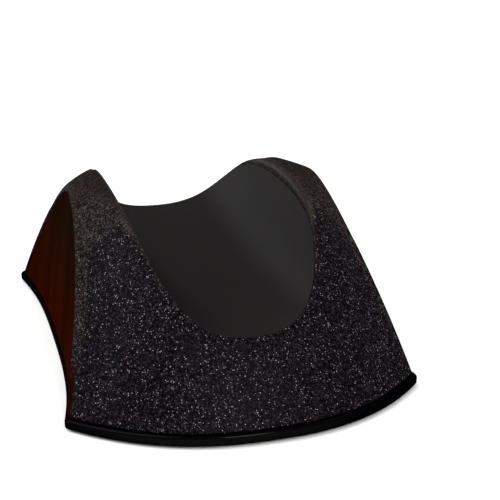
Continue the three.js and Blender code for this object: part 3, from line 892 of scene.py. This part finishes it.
# The shell is a closed hoop. Across it, each column runs out of the channel's mouth, over the roof,
# round the arch's edge, into the panel's pocket and back under the roof.
def makeShell():
    spec = shellShape
    columns = shellColumns()
    start = columns["start"]
    angle = np.arctan2(start[:, 1], start[:, 0])
    near = mouthRadius(angle)
    direction = np.stack([np.cos(angle), np.sin(angle)], -1)
    far = np.linalg.norm(start[:, :2], axis=1)

    def roofPoint(radius, field):
        plan = direction * radius[:, None]
        return np.concatenate([plan, field(plan[:, 0], plan[:, 1])[:, None]], -1)

    mouthTop = roofPoint(near, crownHeight)
    mouthLow = roofPoint(near, shellUnder)
    mouthSide = mouthTop - np.array([0, 0, spec["mouthRound"]])
    firstRoof = roofPoint(near + spec["mouthRound"], crownHeight)
    rows = [mouthLow] + cornerRows(mouthSide, mouthTop, firstRoof, spec["mouthRows"])
    for step in range(1, spec["roofRows"]):
        share = (step / spec["roofRows"]) ** spec["roofSpread"]
        rows.append(roofPoint(mixPoints(near + spec["mouthRound"], far, share), crownHeight))
    startRow = len(rows)
    reach = columns["edge"] - start
    leave = start + reach * spec["filletPull"]      # this handle keeps to the roof's slope
    climb = (reach[:, :2] * roofSlope(start[:, 0], start[:, 1])).sum(1)
    leave[:, 2] = start[:, 2] + spec["filletPull"] * climb
    arrive = mixPoints(columns["fillet"], columns["edge"], spec["filletPull"])
    rows += bendRows(start, leave, arrive, columns["fillet"], spec["filletRows"])
    strip, pocket = columns["strip"], columns["pocket"]

    def fromStrip(target):
        line = target - strip
        length = np.linalg.norm(line, axis=1, keepdims=True)
        return strip + line * (spec["pocketRound"] / np.maximum(length, 1e-6))

    rows += cornerRows(fromStrip(columns["fillet"]), strip, fromStrip(pocket), spec["pocketRows"])
    rows.append(pocket)
    for step in range(1, spec["innerRows"]):
        plan = mixPoints(pocket[:, :2], direction * near[:, None], step / spec["innerRows"])
        rows.append(np.concatenate([plan, shellUnder(plan[:, 0], plan[:, 1])[:, None]], -1))
    loops = np.stack([wholeLoop(row) for row in rows])
    values = shellValues(loops, wholeLoop(start), wholeLoop(mouthTop), startRow)
    loops[..., 2] += blockForm["floorGap"]
    piece = meshFromRows("shell_moulding", loops, closedRows=True, values=values)
    finishPiece(piece, "grained", "upper_shell")


cradleShape = {
    "columns": 520,
    "rows": 70,
    "innermost": 0.02,      # the first row's place on the way out, and each third row is kept below
    "underStep": 3,
    "gap": 0.3,             # to the shell's mouth
    "round": 0.35,
    "roundRows": 4,
    "wall": 3,
}


# The channel's skin: a disc of directions and shares of the way to the mouth, on the swept profile
def makeCradle():
    spec = cradleShape
    angle = 2 * math.pi * (np.arange(spec["columns"]) + 0.5) / spec["columns"]
    reach = mouthRadius(angle) - spec["gap"]
    direction = np.stack([np.cos(angle), np.sin(angle)], -1)

    def skin(radius, depth=0.0):
        x, y = direction[:, 0] * radius, direction[:, 1] * radius
        step = tracing["channelStep"]
        alongX = (channelHeight(x + step, y) - channelHeight(x - step, y)) / (2 * step)
        alongY = (channelHeight(x, y + step) - channelHeight(x, y - step)) / (2 * step)
        normal = np.stack([-alongX, -alongY, np.ones_like(x)], -1)
        normal /= np.linalg.norm(normal, axis=1, keepdims=True)
        top = np.stack([x, y, channelHeight(x, y)], -1)
        return top - normal * depth

    shares = np.sin(np.linspace(spec["innermost"], 1, spec["rows"]) * math.pi / 2)
    topRows = [skin((reach - spec["round"]) * share) for share in shares]
    edge = skin(reach)
    wallTop = edge - np.array([0, 0, spec["round"]])
    wallLow = edge - np.array([0, 0, spec["wall"]])
    underShares = shares[::-spec["underStep"]]
    under = [skin((reach - spec["round"]) * share, spec["wall"]) for share in underShares]
    corner = cornerRows(topRows[-1], edge, wallTop, spec["roundRows"])[1:]
    rows = np.stack(topRows + corner + [wallLow] + under)
    rows[..., 2] += blockForm["floorGap"]
    top = np.array([0, 0, channelProfile(0.0) + blockForm["floorGap"]])
    piece = meshFromRows("channel_skin", rows, poles=(top, top - np.array([0, 0, spec["wall"]])))
    finishPiece(piece, "satin", "wheel_cradle")


panelShape = {
    "recess": 0.3,          # below the leaning side
    "thickness": 2.2,
    "gap": 0.3,             # to the shell and to the rim
    "round": 0.45,
    "roundRows": 5,
    "columns": (130, 190),  # along the straight foot and over the arch
    "rows": 34,
    "backStep": 4,          # each fourth row is kept on the back
    "centre": 24,           # height of the point that the rows spread from
}


# A panel is a flat arch bent with the side: shares of the way from its middle to its outline
def makePanel(name, node, side):
    spec = panelShape
    foot = blockForm["rimHeight"] + spec["gap"]
    footColumns, archColumns = spec["columns"]

    def archCurve(x):
        return onSide(x, lambda x, y: underHeight(x, y, blockForm["roofWall"] + spec["gap"]), spec["recess"])

    half = fromRimToMiddle(archCurve, np.linspace(0, 1, archColumns // 2 + 1), foot)
    arch = np.concatenate([half, half[-2::-1] * np.array([-1, 1, 1])])
    footX = np.linspace(-half[0, 0], half[0, 0], footColumns + 1)[1:-1]
    outlineX = np.concatenate([arch[:, 0], footX])
    outlineZ = np.concatenate([arch[:, 2], np.full(len(footX), foot)])
    middle = np.array([0, spec["centre"]])
    outline = np.stack([outlineX, outlineZ], -1)
    length = np.linalg.norm(outline - middle, axis=1)

    def face(trim, depth, share=1.0):
        flat = middle + (outline - middle) * (share * (1 - trim / length))[:, None]
        y = sideReach(flat[:, 0]) - spec["recess"] - depth - blockForm["lean"] * flat[:, 1]
        return np.stack([flat[:, 0], side * y, flat[:, 1]], -1)

    shares = np.linspace(0, 1, spec["rows"] + 1)[1:]
    front = [face(spec["round"], 0, share) for share in shares]
    rows = front + cornerRows(front[-1], face(0, 0), face(0, spec["round"]), spec["roundRows"])[1:]
    backShares = shares[::-spec["backStep"]]
    back = [face(spec["round"], spec["thickness"], share) for share in backShares]
    rows = np.stack(rows + [face(0, spec["thickness"] - spec["round"])] + back)
    rows[..., 2] += blockForm["floorGap"]
    frontY = sideReach(0.0) - spec["recess"] - blockForm["lean"] * spec["centre"]
    height = spec["centre"] + blockForm["floorGap"]
    poles = [np.array([0, side * y, height]) for y in (frontY, frontY - spec["thickness"])]
    piece = meshFromRows(name, rows, poles=poles)
    finishPiece(piece, "panel", node)


rimShape = {
    "noseColumns": 130,
    "sideColumns": 90,
    "cornerColumns": 12,
    "cornerRound": 1.3,
    "bandShares": (0.35, 0.55),     # rows on the upright band, as shares of its height
    "bevel": 1.2,
    "bevelRows": 8,
    "bevelSpace": 0.6,      # a row this far behind the bevel keeps the flat top flat
    "shelf": 9.5,           # the shelf that the shell stands on reaches in this far
    "shelfBreak": 0.2,
    "lower": 5,             # and the part beside the base plate this far
    "plateTop": 2.2,
    "bottomBreak": 0.5,     # the foot's broken edge, and its middle row
    "bottomMiddle": 0.15,
}


# One ring of the rim at an inset: bulged ends and waisted sides, with rounded corners between
def rimRing(inset, height):
    spec = rimShape
    cornerX = blockForm["cornerX"] - inset
    cornerY = blockForm["cornerY"] - inset
    trim = spec["cornerRound"]
    share = np.linspace(-1 + trim / cornerY, 1 - trim / cornerY, spec["noseColumns"])
    nose = np.stack([cornerX + noseReach(share), share * cornerY], -1)
    x = np.linspace(cornerX - trim, -cornerX + trim, spec["sideColumns"])
    long = np.stack([x, sideReach(x, inset)], -1)
    corner = np.array([cornerX, cornerY])
    across = np.array([-1, 1])
    firstTurn = cornerRows(nose[-1], corner, long[0], spec["cornerColumns"])[1:-1]
    lastTurn = cornerRows(long[-1], corner * across, nose[-1] * across, spec["cornerColumns"])[1:-1]
    half = np.concatenate([nose, firstTurn, long, lastTurn])
    ring = np.concatenate([half, -half])
    return np.concatenate([ring, np.full((len(ring), 1), float(height))], -1)


# The rim's section, as insets and heights, from its broken foot over the rounded band to its shelf,
# carried round its rings
def makeRim():
    spec = rimShape
    top = blockForm["rimHeight"]
    bevel, shelf, lower, plateTop = (spec[k] for k in ("bevel", "shelf", "lower", "plateTop"))
    turn = np.linspace(0, math.pi / 2, spec["bevelRows"])
    profile = [(spec["bottomBreak"], 0), (spec["bottomMiddle"],) * 2, (0, spec["bottomBreak"])]
    profile += [(0, top * share) for share in spec["bandShares"]]
    profile += [(bevel * (1 - math.cos(t)), top - bevel + bevel * math.sin(t)) for t in turn]
    profile += [(bevel + spec["bevelSpace"], top), (shelf - spec["shelfBreak"], top)]
    profile += [(shelf, top - spec["shelfBreak"]), (shelf, plateTop), (lower, plateTop), (lower, 0)]
    rows = np.stack([rimRing(inset, height) for inset, height in profile])
    rows[..., 2] += blockForm["floorGap"]
    piece = meshFromRows("rim_band", rows, closedRows=True)
    finishPiece(piece, "rim", "base_rim")


makeShell()
makeCradle()
makePanel("panel_gloss_right", "side_panel_right", -1)
makePanel("panel_gloss_left", "side_panel_left", 1)
makeRim()
print("pieces made")

for name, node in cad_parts.items():
    finish = "steel" if "screw" in name else "rubber" if name.startswith("foot") else "inner"
    for slot in node.material_slots:
        slot.material = finishes[finish]
print("carried-over nodes finished")


def makeFloor():
    half = lightSet["floorSize"] / 2
    mesh = bpy.data.meshes.new("floor")
    corners = [(-half, -half, 0), (half, -half, 0), (half, half, 0), (-half, half, 0)]
    mesh.from_pydata(corners, [], [(0, 1, 2, 3)])
    floor = bpy.data.objects.new("floor", mesh)
    bpy.context.scene.collection.objects.link(floor)
    mesh.materials.append(finishes["floor"])


makeFloor()
